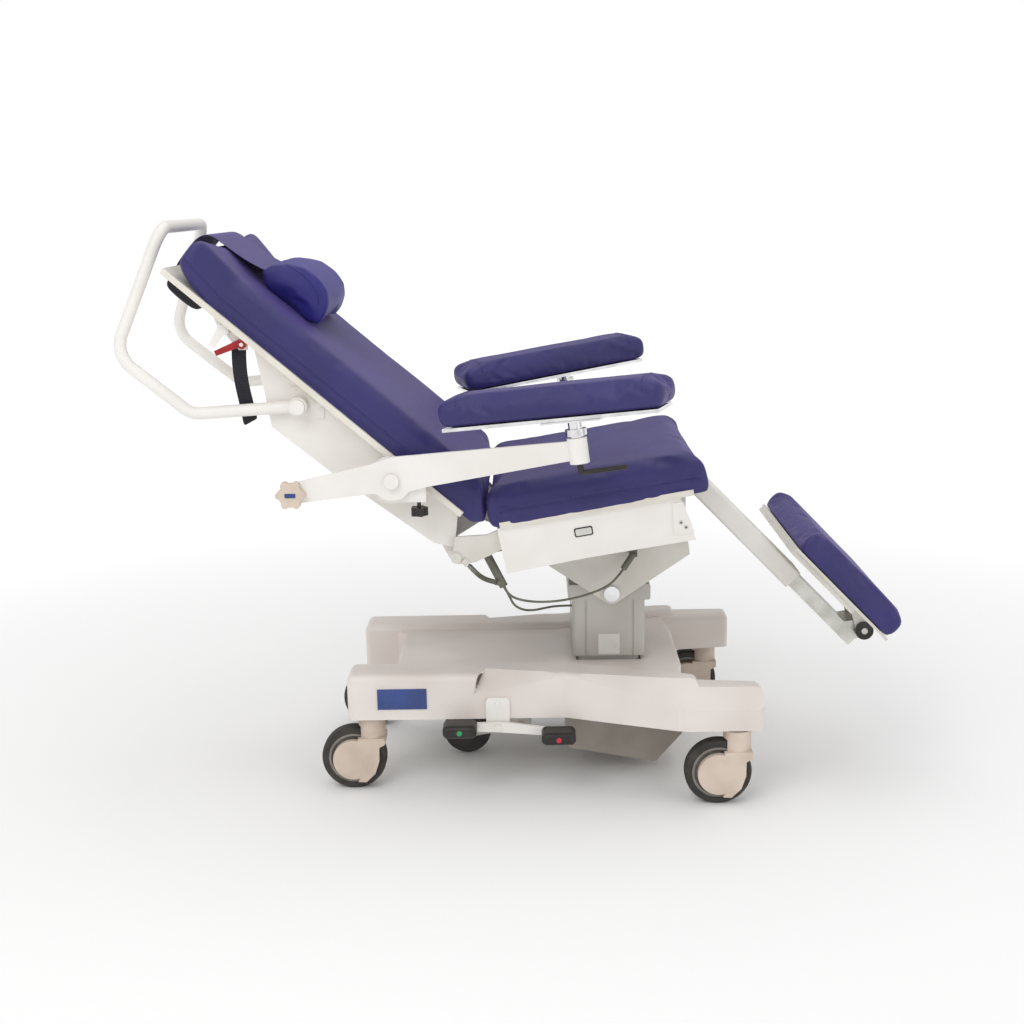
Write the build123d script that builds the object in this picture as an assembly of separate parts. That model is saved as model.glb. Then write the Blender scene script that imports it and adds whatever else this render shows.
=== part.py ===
"""Patient recliner chair on castors: lifting column, tilting seat, hinged back, arms, leg rest and pedals.

Millimetres. +X is the foot end, +Z is up, and the chair is symmetric about Y = 0 but for its trim.
"""
import os
from math import atan2, cos, degrees, hypot, pi, radians, sin, tan

from build123d import *

os.makedirs("parts", exist_ok=True)

# Driving dimensions
origin_shift = -6.477  # brings the middle of the bounding box over X = 0
wheel_r = 70.0
castor_trail = 40.0
castor_rear = (-320.0, 190.0)  # swivel axis, X and half track
castor_front = (453.0, 298.0)
castor_head_z = 161.0
base_bottom = 164.0
rail_top = 263.0
leg_top = 248.0
deck_top = 250.0
cover_wall = 4.0
column_x = 197.0
column_overlap_top = 386.0
sleeve_bottom = 262.0
tilt_pin_at = (203.0, 406.0)
seat_angle = 9.0  # seat plane, foot end up
seat_height = 609.3  # underside of the seat pad over X = 0
seat_start = -31.0
seat_end = 402.0
pad_half_width = 300.0
pad_thickness = 66.0
back_angle = 41.0
back_base = (-78.0, 603.0)  # where the underside line of the back pad starts
back_start = 27.0
back_length = 806.0
hinge_at = (-70.0, 592.0)  # back to seat
tray_half_width = 240.0
board_thickness = 12.0
frame_rail_y = 117.0
frame_rail_width = 40.0
frame_depth = 25.0
cover_y = 275.0
arm_pivot = (-245.0, 701.0)
arm_plate_y = 303.0
arm_bar_y = 311.0
arm_bar_thickness = 10.0
arm_bend_x = -182.0
arm_post = (125.0, 395.0, 770.0)
arm_splay = 19.5
arm_pitch = 7.1
leg_pivot = (385.0, 640.0)
leg_angle = 46.0
leg_tube_end = 322.0
leg_bar_end = 520.0
calf_pivot = (516.5, 33.5)  # in the leg frame, along and across the beam
handle_r = 12.5
handle_y = 258.0
handle_pivot = (-433.0, 846.0)
running_gap = 0.05
fifth_pivot = (0.0, 78.0)
fifth_wheel_at = (-123.0, 56.0)

# Leads: a junction sleeve on the near side, two thin cables and one coiled lead
sleeve_y = -225.0
sleeve_top = (-60.0, sleeve_y, 520.0)
sleeve_foot = (-28.0, sleeve_y, 455.0)
seat_cable_route = [
    (-28, -229, 455), (-19, -229, 436.7), (8, -222, 422), (56, -204, 412), (112, -184, 412), (164, -168, 422),
    (206, -160, 440), (226, -158, 470),
]
column_cable_route = [
    (-28, -221, 455), (-18, -221, 434.7), (-8, -208, 408), (12, -178, 388), (36, -138, 376),
    (58, -98, 369), (84, -72, 366), (118, -72, 366),
]
curly_route = [(-100, -255, 511), (-83, -255, 490), (-62, -248, 474), (-44, -236, 467)]
curly_radius = 5.8
coil_gland = (-108.8, -255, 521.9)


def export(shape, node):
    """Write one node, moved so that the origin is under the middle of the chair."""
    export_step(Pos(origin_shift, 0, 0) * shape, f"parts/{node}.step")


def slab(points, y_from, y_to):
    """A flat plate: an outline in X and Z, between two Y planes."""
    plate = extrude(Plane.XZ * Polygon(*points, align=None), (y_to - y_from) / 2, both=True)
    return Pos(0, (y_from + y_to) / 2, 0) * plate


def block(x_from, x_to, y_from, y_to, z_from, z_to):
    middle = Pos((x_from + x_to) / 2, (y_from + y_to) / 2, (z_from + z_to) / 2)
    return middle * Box(x_to - x_from, y_to - y_from, z_to - z_from)


def rod(start, end, radius):
    """A round bar between two points."""
    start = Vector(*start)
    run = Vector(*end) - start
    return Solid.make_cylinder(radius, run.length, Plane(origin=start, z_dir=run.normalized()))


def cross_rod(x, z, y_from, y_to, radius):
    """A round bar along Y."""
    return rod((x, y_from, z), (x, y_to, z), radius)


def mirrored(shape):
    """The same shape on both sides of the chair."""
    return [shape, mirror(shape, about=Plane.XZ)]


def lobed_knob(radius, height, lobes):
    """A grip with round lobes about a vertical axis, its foot at the origin."""
    grip = Cylinder(radius * 0.8, height, align=(Align.CENTER, Align.CENTER, Align.MIN))
    lobe = Cylinder(radius * 0.26, height, align=(Align.CENTER, Align.CENTER, Align.MIN))
    return grip + [loc * lobe for loc in PolarLocations(radius * 0.74, lobes)]


def soft_pad(x_from, x_to, half_width, z_from, z_to, radius):
    """A cushion as a rounded block."""
    pad = block(x_from, x_to, -half_width, half_width, z_from, z_to)
    return fillet(pad.edges(), radius)


def tube_path(points, factor=0.45):
    """Straight runs joined by arcs as large as the runs allow; prints the radii."""
    corners = []
    for before, at, after in zip(points, points[1:], points[2:]):
        first = Vector(*at) - Vector(*before)
        second = Vector(*after) - Vector(*at)
        half_turn = radians(first.get_angle(second)) / 2
        corners.append(factor * min(first.length, second.length) / tan(half_turn))
    print("radii", [round(r, 1) for r in corners])
    return FilletPolyline(*points, radius=corners)


def tube(points, radius, factor=0.45):
    """A round tube along a route, with its length printed."""
    path = tube_path(points, factor)
    start = Plane(origin=path @ 0, z_dir=path % 0)
    solid = sweep(start * Circle(radius), path=path)
    section = pi * radius * radius
    print("length", round(path.length, 1), "volume ratio", round(solid.volume / (section * path.length), 4))
    return solid


def side_name(side):
    return "near" if side < 0 else "far"


# ---- Base: a moulded cover over a steel chassis ----

rail_outline = [(-367, -229), (97, -229), (330, -320), (374, -320), (374, -236), (97, -135), (-367, -135)]
leg_outline = [(290, -300), (344, -324), (506, -324), (506, -242), (290, -214)]
deck_outline = [
    (-305, -150), (-270, -112), (-270, 112), (-305, 150), (97, 150),
    (340, 232), (354, 120), (354, -120), (340, -232), (97, -150),
]


def moulded(outline, top, inset, corner, edge):
    """One raised part of the cover, or with an inset the hollow under it."""
    flat = Polygon(*outline, align=None)
    if inset:
        flat = offset(flat, -inset, kind=Kind.INTERSECTION)
    low = base_bottom - inset
    solid = Pos(0, 0, low) * extrude(flat, top - inset - low, dir=(0, 0, 1))
    solid = fillet(solid.edges().filter_by(Axis.Z), corner - inset)
    return fillet(solid.faces().sort_by(Axis.Z)[-1].edges(), edge - inset)


def base_form(inset):
    """The whole base: two rails, two front legs and the deck between them."""
    rail = moulded(rail_outline, rail_top, inset, 14, 16)
    leg = moulded(leg_outline, leg_top, inset, 14, 16)
    deck = moulded(deck_outline, deck_top, inset, 12, 10)
    form = deck + mirrored(rail) + mirrored(leg)
    for cut in leg_slopes(inset):
        form = form - cut
    return form


def leg_slopes(inset):
    """Room over two sloping faces that take each rail down to its low front leg."""
    corners = [
        ((97, -232, 255), (330, -324, 212), (0.36, 0.93, 1.0)),
        ((330, -324, 212), (506, -324, 210), (0, 1, 1.0)),
    ]
    cuts = []
    for start, end, uphill in corners:
        run = Vector(*end) - Vector(*start)
        normal = run.cross(Vector(*uphill)).normalized()
        face = Plane(origin=Vector(*start) - normal * inset, x_dir=run, z_dir=normal)
        cuts += mirrored(face * Pos(run.length / 2, 0, 60) * Box(600, 400, 120))
    return cuts


def make_base_cover():
    cover = base_form(0) - base_form(cover_wall)
    return cover - block(column_x - 71, column_x + 71, -102, 102, base_bottom, rail_top)


def channel(start, end, width, z_from, z_to):
    """A steel channel, open below, between two points in plan."""
    run_x = end[0] - start[0]
    run_y = end[1] - start[1]
    length = hypot(run_x, run_y) + width
    wall = 3.0
    outer = block(-length / 2, length / 2, -width / 2, width / 2, z_from, z_to)
    inner = block(-length / 2 + wall, length / 2 - wall, wall - width / 2, width / 2 - wall, z_from, z_to - wall)
    middle = ((start[0] + end[0]) / 2, (start[1] + end[1]) / 2, 0)
    turn = Vector(1, 0, 0).get_signed_angle(Vector(run_x, run_y, 0), Vector(0, 0, 1))
    return Location(middle, (0, 0, turn)) * (outer - inner)


def make_chassis():
    """Channels to the four castors, the column's seat, the hanger of the steering wheel and the stems."""
    low = 174.0
    high = 202.0
    side_rail = [(castor_rear[0], -castor_rear[1]), (90, -190), (330, -272), (castor_front[0] - 8, -290)]
    parts = []
    for start, end in zip(side_rail, side_rail[1:]):
        parts += mirrored(channel(start, end, 40, low, high))
    for x, half in ((-220, 190), (90, 190), (310, 262)):
        parts.append(channel((x, -half), (x, half), 40, low, high))
    parts.append(block(column_x - 120, column_x + 140, -150, 150, high, high + 6))
    bosses = []
    stems = []
    for x, y in castor_places():
        bosses.append(rod((x, y, base_bottom + 2), (x, y, high), 19))
        stems.append(rod((x, y, castor_head_z - 14), (x, y, high - 4), 6))
    frame = parts[0] + parts[1:] + bosses
    for stem in stems:
        frame = frame - stem
    hanger = slab([(-24, low - 4), (-24, 66), (24, 66), (24, low - 4)], 30, 36)
    beam = block(-240, 110, -40, 40, low - 8, low)
    hanger = beam + mirrored(hanger)
    axle = cross_rod(*fifth_pivot, -40, 40, 6)
    return Compound([frame.solid(), hanger - axle, axle] + stems)


def castor_places():
    return [
        (castor_rear[0], -castor_rear[1]), (castor_rear[0], castor_rear[1]),
        (castor_front[0], -castor_front[1]), (castor_front[0], castor_front[1]),
    ]


def make_castor_fork():
    """Moulded fork about the swivel axis at the origin, its wheel trailing towards -X."""
    axle_x = -castor_trail
    head = rod((0, 0, 104), (0, 0, castor_head_z), 29)
    side = [
        (29, 118), (29, 104), (16, 97), (15.5, 66), (6, 38), (-14, 19),
        (-31, 20), (-20, 45), (-26, 75), (-29, 104), (-29, 118),
    ]
    leg = slab(side, -30, 30)
    cap = cross_rod(axle_x, wheel_r, -30, 30, 44)
    body = head + leg + cap
    body = body - cross_rod(axle_x, wheel_r, -18, 18, wheel_r + 4)
    body = body - block(axle_x - 90, axle_x + 90, -18, 18, 0, wheel_r)
    body = body - rod((0, 0, castor_head_z - 16), (0, 0, castor_head_z + 1), 6 + running_gap)
    return body - cross_rod(axle_x, wheel_r, -27, 27, 6)


def make_castor_wheel():
    """Dished hub of the trailing wheel, bored for the axle."""
    axle_x = -castor_trail
    hub = cross_rod(axle_x, wheel_r, -15, 15, 55)
    dish = cross_rod(axle_x, wheel_r, 7, 16, 50) - cross_rod(axle_x, wheel_r, 7, 16, 20)
    hub = hub - mirrored(dish) - cross_rod(axle_x, wheel_r, -16, 16, 6 + running_gap)
    return hub


def make_castor_tyre():
    axle_x = -castor_trail
    tyre = cross_rod(axle_x, wheel_r, -16, 16, wheel_r)
    tyre = fillet(tyre.edges(), 7)
    return tyre - cross_rod(axle_x, wheel_r, -17, 17, 55)


def make_castors():
    fork = make_castor_fork()
    axle = cross_rod(-castor_trail, wheel_r, -27, 27, 6)
    wheel = make_castor_wheel()
    tyre = make_castor_tyre()
    names = ("rear_near", "rear_far", "front_near", "front_far")
    for name, (x, y) in zip(names, castor_places()):
        place = Pos(x, y, 0)
        export(Compound([place * fork, place * axle]), f"castor_fork_{name}")
        export(Compound([place * wheel, place * tyre]), f"castor_wheel_{name}")


def make_battery_box():
    outline = [(98, 160), (102, 61), (297, 25), (358, 94), (358, 160)]
    box = fillet(slab(outline, -140, 140).edges().filter_by(Axis.Y), 12)
    return box + block(112, 330, -110, 110, 150, 174)


# ---- Lifting column: a fixed inner, a middle stage and the outer sleeve ----

def column_stage(half_x, half_y, wall, z_from, z_to):
    outer = block(column_x - half_x, column_x + half_x, -half_y, half_y, z_from, z_to)
    outer = fillet(outer.edges().filter_by(Axis.Z), 10)
    inner_x = half_x - wall
    inner_y = half_y - wall
    hollow = block(column_x - inner_x, column_x + inner_x, -inner_y, inner_y, z_from - 1, z_to + 1)
    return outer - fillet(hollow.edges().filter_by(Axis.Z), 10 - wall)


def make_column_sleeve():
    sleeve = column_stage(79, 110, 6, sleeve_bottom, 388)
    for x in (column_x - 50, column_x + 53):
        groove = block(x - 2.5, x + 2.5, -111, -107.5, sleeve_bottom - 1, 389)
        sleeve = sleeve - mirrored(groove)
    return sleeve


def make_column_head():
    head = block(109, 288, -111, 111, 388, 423)
    head = fillet(head.edges().filter_by(Axis.Y), 5)
    return head - cross_rod(*tilt_pin_at, -112, 112, 10)


def make_tilt_pin():
    """The cross pin the seat tilts on, with a wide cap at each end."""
    caps = mirrored(cross_rod(*tilt_pin_at, -128, -121, 17))
    return cross_rod(*tilt_pin_at, -128, 128, 10) + caps


# ---- Seat, built in a frame that lies in the seat plane ----

seat_frame_place = Location((0, 0, seat_height), (0, -seat_angle, 0))


def seat_line(x, below):
    """Height of a line parallel to the seat plane, a distance below the pad."""
    return seat_height + x * tan(radians(seat_angle)) - below / cos(radians(seat_angle))


def make_seat_frame():
    """Two welded rails with the back's hinge eyes, cross bars and the leg rest's lugs."""
    low = -board_thickness - frame_depth
    high = -board_thickness
    half = frame_rail_width / 2
    rail = block(-52, 352, -frame_rail_y - half, half - frame_rail_y, low, high)
    bars = [block(u, u + 30, 3 - cover_y, cover_y - 3, low, high) for u in (24, 170, 288)]
    frame = seat_frame_place * (bars[0] + bars[1:] + mirrored(rail))
    eye = cross_rod(*hinge_at, -frame_rail_y - half, half - frame_rail_y, 14)
    web = slab(
        [(-70, 580), (-40, 592), (-40, seat_line(-40, 37)), (-72, 578)],
        -frame_rail_y - half, half - frame_rail_y,
    )
    lug = slab([(298, 621), (385, 622), (403, 640), (385, 654), (340, 644), (298, 636)], 52, 60)
    lug = lug + cross_rod(*leg_pivot, 52, 60, 17)
    wing = slab(
        [
            (52, 580), (52, 600), (-20, 590), (-60, 573), (-124, 570),
            (-134, 524), (-120, 512), (-84, 516), (10, 560),
        ],
        -258, -252,
    )
    frame = frame + mirrored(eye) + mirrored(web) + mirrored(lug) + mirrored(wing)
    frame = frame + cross_rod(-124, 526, -264, -258, 11) + rod(coil_gland, curly_route[0], 8)
    frame = frame - cross_rod(*hinge_at, -140, 140, 7 + running_gap)
    return frame - cross_rod(*leg_pivot, -61, 61, 7)


def make_tilt_bracket():
    """Two V-shaped plates that carry the seat frame on the tilt pin."""
    outline = [
        (190, 386), (216, 386), (372, 491), (362, 560), (362, seat_line(362, 37)),
        (30, seat_line(30, 37)), (30, 496),
    ]
    plate = slab(outline, 114, 120) + cross_rod(*tilt_pin_at, 114, 120, 24)
    plate = plate - cross_rod(*tilt_pin_at, 113, 121, 10 + running_gap)
    return Compound(mirrored(plate))


def make_seat_board():
    return seat_frame_place * block(-34, 364, -285, 285, -board_thickness, 0)


def make_seat_cushion():
    return seat_frame_place * soft_pad(seat_start, seat_end, pad_half_width, 0.5, pad_thickness, 30)


def make_side_covers():
    """Painted side panels with a bottom return and a corner patch."""
    outline = [(-38, 590), (-20, 495), (147, 526), (340, 556), (367, 560), (334, 650)]
    inner = [(-33, 640), (-17, 501), (146, 531), (339, 561), (360, 565), (329, 700)]
    pan = slab(outline, -cover_y, -cover_y + 16) - slab(inner, -cover_y + 3, -cover_y + 17)
    patch = slab([(322, 572), (364, 575), (340, 640), (318, 637)], -cover_y - 2.5, -cover_y)
    return Compound(mirrored(pan + patch))


actuator_slope = Vector(cos(radians(seat_angle)), 0, sin(radians(seat_angle)))


def along(start, distance):
    """A point along an actuator's axis."""
    at = Vector(*start) + actuator_slope * distance
    return (at.X, at.Y, at.Z)


back_rod_eye = (-125.0, -188.0, 524.0)
leg_rod_eye = (362.0, 0.0, 598.0)


def make_actuator(eye, near, far):
    """A drive's tube with its motor foot, bored for the rod."""
    housing = rod(along(eye, near), along(eye, far), 17)
    motor = rod(along(eye, far - 60 * (1 if far > near else -1)), along(eye, far), 24)
    bore_end = along(eye, near + 145 * (1 if far > near else -1))
    return (housing + motor) - rod(along(eye, near), bore_end, 9 + running_gap)


def make_actuator_rod(eye, end):
    head = cross_rod(eye[0], eye[2], eye[1] - 8, eye[1] + 8, 13)
    stem = rod(along(eye, 10 if end > 0 else -10), along(eye, end), 9)
    return (head + stem) - cross_rod(eye[0], eye[2], eye[1] - 9, eye[1] + 9, 6)


# ---- Back, built in a frame whose -X runs up the back ----

back_place = Location((back_base[0], 0, back_base[1]), (0, back_angle, 0))


def back_line(x, below):
    """Height of a line parallel to the back's underside, a distance below the pad."""
    return back_base[1] - (x - back_base[0]) * tan(radians(back_angle)) - below / cos(radians(back_angle))


tray_low = [(-127, 544), (-170, 554), (-370, 702), (-492, 802), (-499, 849), (-520, 967)]


def make_back_tray():
    """A folded steel tray under the back board, with hinge lugs and the drive's lever."""
    top = board_thickness
    outline = tray_low + [(-524, back_line(-524, top)), (-118, back_line(-118, top))]
    inner = [
        (-100, 548), (-168, 558), (-367, 705.5), (-488, 805), (-495.5, 849), (-516.5, 967),
        (-540, back_line(-540, -10)), (-90, back_line(-90, -10)),
    ]
    pan = slab(outline, -tray_half_width, tray_half_width)
    pan = pan - slab(inner, 3 - tray_half_width, tray_half_width - 3)
    lug = slab([(-180, 558), (-128, 545), (-78, 576), (-60, 590), (-74, 604), (-150, 622)], -147, -139)
    lug = lug + cross_rod(*hinge_at, -147, -139, 13)
    lever = slab([(-165, 560), (-140, 512), (-116, 510), (-112, 534), (-140, 600), (-165, 600)], -206, -198)
    rod_notch = block(-186, -100, -197.9, -170, 500, 640)
    tray = (pan - rod_notch) + mirrored(lug) + lever
    tray = tray - cross_rod(*hinge_at, -148, 148, 7)
    pins = mirrored(cross_rod(*hinge_at, -150, -96, 7))
    stub = cross_rod(back_rod_eye[0], back_rod_eye[2], -214, -206, 11)
    return Compound([tray.solid()] + pins + [stub])


def make_back_board():
    return back_place * block(-798, -36, -285, 285, -board_thickness, 0)


def make_back_cushion():
    return back_place * soft_pad(-back_length, -back_start, pad_half_width, 0.5, pad_thickness, 30)


pillow_length = 150.0


def make_pillow():
    """A D-shaped head roll that lies across the back pad."""
    outline = [
        (-664, 88), (-657, 122), (-630, 146), (-600, 161), (-564, 164), (-533, 156),
        (-512, 136), (-501, 108), (-499, 84), (-530, 67.5), (-630, 67.5),
    ]
    return back_place * fillet(slab(outline, -pillow_length, pillow_length).edges(), 5)


def make_pillow_strap():
    """The flap over the head end, and the weight that keeps it tight."""
    over = block(-812, -700, -138, 138, 67.5, 70.5)
    down = block(-812, -808.5, -138, 138, -60, 70.5)
    bag = fillet(block(-808.5, -722, -110, 110, -60, -14).edges(), 10)
    return back_place * (over + down + bag)


def make_webbing():
    """A flat strap that hangs from the near edge of the back board, cut on the slant."""
    top = back_line(-546, board_thickness) - 1
    return slab([(-561, top), (-551, 828), (-522, 812), (-531, top - 16)], -244.2, -242)


def make_push_handle():
    """One bent tube from side to side, pinned through the tray."""
    half = [
        (handle_pivot[0] - 2, -handle_y, handle_pivot[1]),
        (-649, -handle_y, 834), (-797, -256, 956), (-701, -196, 1203),
    ]
    other = [(x, -y, z) for x, y, z in reversed(half)]
    route = half + other
    path = FilletPolyline(*route, radius=[45, 60, 55, 55, 60, 45])
    bar = sweep(Plane(origin=path @ 0, z_dir=path % 0) * Circle(handle_r), path=path)
    eye = cross_rod(*handle_pivot, -handle_y - 14, -handle_y + 14, 19)
    bar = bar + mirrored(eye)
    return bar - cross_rod(*handle_pivot, -300, 300, 9 + running_gap)


def make_handle_pivots():
    """Bushed studs on the tray, with a plate behind each and a bolt beside it."""
    stud = cross_rod(*handle_pivot, -276, -tray_half_width, 9)
    cap = cross_rod(*handle_pivot, -280, -273, 15)
    plate = slab([(-466, 818), (-384, 818), (-384, 848), (-432, 884), (-452, 884)], -243, -tray_half_width)
    bolt = cross_rod(-395, 846, -247, -243, 8)
    return mirrored(stud + cap + plate + bolt)


def make_release_lever():
    pivot = (-540, 972)
    hub = cross_rod(*pivot, -262, -248, 9)
    arm = slab([(-545, 966), (-592, 950), (-596, 960), (-545, 982)], -260, -252)
    return (hub + arm) - cross_rod(*pivot, -263, -247, 4 + running_gap)


def make_paddle_lever():
    pivot = (-572, 999)
    hub = cross_rod(*pivot, -262, -250, 8)
    blade = slab([(-566, 1010), (-584, 1012), (-606, 972), (-598, 966), (-572, 996)], -259, -253)
    return (hub + blade) - cross_rod(*pivot, -263, -249, 4 + running_gap)


def make_lever_bracket():
    """A plate under the board's near edge that holds both hand levers."""
    plate = slab(
        [(-530, 960), (-548, 960), (-590, 1012), (-600, back_line(-600, 12)), (-530, back_line(-530, 12))],
        -250 + 2, -245,
    )
    pins = cross_rod(-540, 972, -264, -245, 4) + cross_rod(-572, 999, -264, -245, 4)
    return plate + pins


# ---- Arms ----

def make_arm_brackets():
    """Pivot shafts out of the tray, each with its locking plate."""
    plate = cross_rod(*arm_pivot, -309, -arm_plate_y, 48)
    corner = slab([(-262, 655), (-178, 655), (-178, 700), (-262, 700)], -309, -arm_plate_y)
    shaft = cross_rod(*arm_pivot, -arm_plate_y, -tray_half_width, 14)
    journal = cross_rod(*arm_pivot, -324, -309, 10)
    cap = cross_rod(*arm_pivot, -331, -324, 15)
    clamp = block(-202, -184, -313 + 4, -297, 655, 672)
    bracket = plate + corner + shaft + journal + cap + clamp
    bracket = bracket - rod((-193, -303, 650), (-193, -303, 668), 4 + running_gap)
    return mirrored(bracket)


def make_arm_bar(side):
    """A flat bar with a long tail, bent outward in front of the pivot."""
    outer = arm_bar_y + arm_bar_thickness
    tail = slab(
        [(-450, 698), (-286, 735), (-245, 749), (-182, 753), (-182, 686), (-245, 672), (-284, 676), (-444, 658)],
        -outer, -arm_bar_y,
    )
    tail = tail + cross_rod(*arm_pivot, -outer, -arm_bar_y, 40)
    reach = arm_post[1] - arm_bar_y - arm_bar_thickness / 2
    length = hypot(arm_post[0] - arm_bend_x, reach)
    bend = degrees(atan2(reach, arm_post[0] - arm_bend_x))
    front = slab([(-4, 753), (length - 12, 788), (length - 12, 750), (-4, 686)], -5, 5)
    front = Location((arm_bend_x, -arm_bar_y - 5, 0), (0, 0, -bend)) * front
    bar = tail + front + boss_place(-1) * Cylinder(19.5, 50)
    bar = bar - boss_place(-1) * Cylinder(14 + running_gap, 60)
    bar = bar - cross_rod(*arm_pivot, -outer - 1, 1 - arm_bar_y, 10 + running_gap)
    return bar if side < 0 else mirror(bar, about=Plane.XZ)


def boss_place(side):
    """The frame of an armrest: origin in its boss, X along the pad, Z up the post."""
    turn = Rot(0, 0, side * arm_splay)
    return Pos(arm_post[0], side * arm_post[1], arm_post[2]) * turn * Rot(0, -arm_pitch, 0)


def make_armrest_post(side):
    """Chrome post with its collar and the plate and board under the pad."""
    post = Pos(0, 0, 19) * Cylinder(14, 84)
    collar = Pos(0, 0, 36) * Cylinder(21, 13)
    plate = block(-60, 60, -30, 30, 58, 61)
    board = block(-268, 174, -side * 30 - 54, -side * 30 + 54, 61, 68)
    return boss_place(side) * (post + collar + plate + board)


def make_armrest_pad(side):
    middle = -side * 30
    pad = fillet(block(-279, 188, middle - 65, middle + 65, 68.5, 126).edges(), 22)
    return boss_place(side) * pad


def make_arm_lever(side):
    """L-shaped clamping lever under the boss."""
    stem = rod((0, 0, -46), (0, 0, -26), 6)
    grip = rod((0, 0, -44), (84, 0, -44), 5)
    turn = Rot(0, 0, -side * arm_splay)
    return boss_place(side) * turn * (stem + grip + Sphere(6).moved(Location((84, 0, -44))))


def make_star_knob(side):
    knob = Pos(-193, side * 303, 627) * lobed_knob(18, 17, 5)
    return knob + rod((-193, side * 303, 640), (-193, side * 303, 666), 4)


def make_tail_knob(side):
    """A lobed knob on the outer face of the bar's tail."""
    knob = lobed_knob(30, 16, 6)
    return Pos(-446, side * (arm_bar_y + arm_bar_thickness + 0.3), 678) * Rot(-90 * side, 0, 0) * knob


# ---- Leg rest, built in a frame whose X runs down the beam ----

leg_place = Location((leg_pivot[0], 0, leg_pivot[1]), (0, leg_angle, 0))


def make_leg_tube():
    """The hinged outer beam, with an eye and the drive's lever."""
    beam = block(10, leg_tube_end, -48, 48, -22, 22)
    beam = fillet(beam.edges().filter_by(Axis.X), 6)
    beam = beam - block(34, leg_tube_end + 1, -42, 42, -16, 16)
    eye = rod((0, -48, 0), (0, 48, 0), 19)
    lever = slab([(388, 628), (370, 588), (356, 588), (352, 600), (368, 640)], 9, 16)
    tube_part = leg_place * (beam + eye) + lever
    return tube_part - cross_rod(*leg_pivot, -61, 61, 7 + running_gap)


def make_leg_slide():
    """The inner bar that draws out of the beam, with the calf pad's hinge block."""
    bar = block(90, leg_bar_end, -41.5, 41.5, -15.5, 15.5)
    bar = bar - block(91, leg_bar_end - 30, -37, 37, -11, 11) - block(80, 92, -37, 37, -11, 11)
    cheek = slab([(470, 10), (500, 50), (534, 42), (531, 20), (516, 0), (470, 0)], -40, 40)
    block_part = bar + cheek
    block_part = block_part - rod((calf_pivot[0], -50, calf_pivot[1]), (calf_pivot[0], 50, calf_pivot[1]), 7)
    pin = rod((calf_pivot[0], -58, calf_pivot[1]), (calf_pivot[0], 58, calf_pivot[1]), 7)
    return Compound([leg_place * block_part.solid(), leg_place * pin])


def make_calf_tray():
    """Board and folded tray under the calf pad, with two lugs on the hinge."""
    board = block(222, 500, -222, 222, 58, 64)
    pan = block(222, 407, -215, 215, 46, 58) - block(226, 403, -211, 211, 45, 58)
    lug = slab([(430, 58), (500, 58), (534, 40), (530, 20), (510, 18), (460, 46)], 43, 49)
    lug = lug - rod((calf_pivot[0], 40, calf_pivot[1]), (calf_pivot[0], 50, calf_pivot[1]), 7 + running_gap)
    return leg_place * (board + pan + mirrored(lug))


def make_calf_discs():
    """Friction discs on the outside of the calf hinge."""
    disc = rod((calf_pivot[0], -57, calf_pivot[1]), (calf_pivot[0], -49.5, calf_pivot[1]), 20)
    disc = disc - rod((calf_pivot[0], -58, calf_pivot[1]), (calf_pivot[0], -49, calf_pivot[1]), 7)
    return leg_place * Compound(mirrored(disc))


def make_calf_pad():
    return leg_place * fillet(block(214, 506, -235, 235, 64.5, 115).edges(), 20)


# ---- Pedals and the steering wheel under the base ----

rocker_at = (-46.0, 150.0)


def make_pedal_bracket():
    plate = slab([(-71, 140), (-21, 140), (-21, 206), (-26, 212), (-66, 212), (-71, 206)], -235, -229)
    screw = cross_rod(-46, 198, -238, -235, 6)
    shaft = cross_rod(*rocker_at, -250, -235, 7)
    return plate + screw + shaft


def make_pedal_rocker():
    bar = slab(
        [(-158, 158), (-158, 144), (-62, 140), (-30, 138), (112, 126), (112, 140), (-30, 160), (-62, 160)],
        -246, -237,
    )
    return bar - cross_rod(*rocker_at, -251, -236, 7 + running_gap)


def pedal_pad(x, z):
    pad = block(x - 36, x + 36, -292, -246, z, z + 28)
    outer = [edge for edge in pad.edges() if edge.center().Y < -250]
    return fillet(outer, 11)


def make_pedal_pads():
    return [pedal_pad(-126, 141), pedal_pad(82, 123)]


def make_fifth_arm():
    plate = slab([(-136, 48), (-120, 44), (10, 66), (12, 90), (-6, 92), (-134, 66)], 20, 26)
    bridge = block(-30, -12, -20, 20, 66, 80)
    arm = bridge + mirrored(plate)
    arm = arm - cross_rod(*fifth_pivot, -30, 30, 6 + running_gap)
    return arm - cross_rod(*fifth_wheel_at, -30, 30, 5)


def make_fifth_wheel():
    wheel = cross_rod(*fifth_wheel_at, -15, 15, 54)
    wheel = fillet(wheel.edges(), 6)
    axle = cross_rod(*fifth_wheel_at, -26, 26, 5)
    return wheel - axle, axle


# ---- Cables ----

def make_cable_sleeve():
    """A junction sleeve clipped to the near wing, with the coiled lead's socket, and the relief of the seat lead."""
    sleeve = rod(sleeve_top, sleeve_foot, 9) + block(-64, -52, -252, sleeve_y, 526, 536)
    sleeve = sleeve + rod((-60, sleeve_y, 518), (-60, sleeve_y, 530), 5)
    coil_end = Vector(*curly_route[-1])
    coil_run = (coil_end - Vector(*curly_route[-2])).normalized()
    socket_end = coil_end + coil_run * 18
    sleeve = sleeve + rod((coil_end.X, coil_end.Y, coil_end.Z), (socket_end.X, socket_end.Y, socket_end.Z), 6.5)
    before = Vector(*seat_cable_route[-2])
    end = Vector(*seat_cable_route[-1])
    top = end + (end - before).normalized() * 40
    relief = rod((end.X, end.Y, end.Z), (top.X, top.Y, top.Z), 7)
    relief = relief + block(top.X - 8, top.X + 8, top.Y, -120, top.Z - 8, top.Z + 8)
    return Compound([sleeve, relief])


# ---- Build and write every node ----

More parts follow.
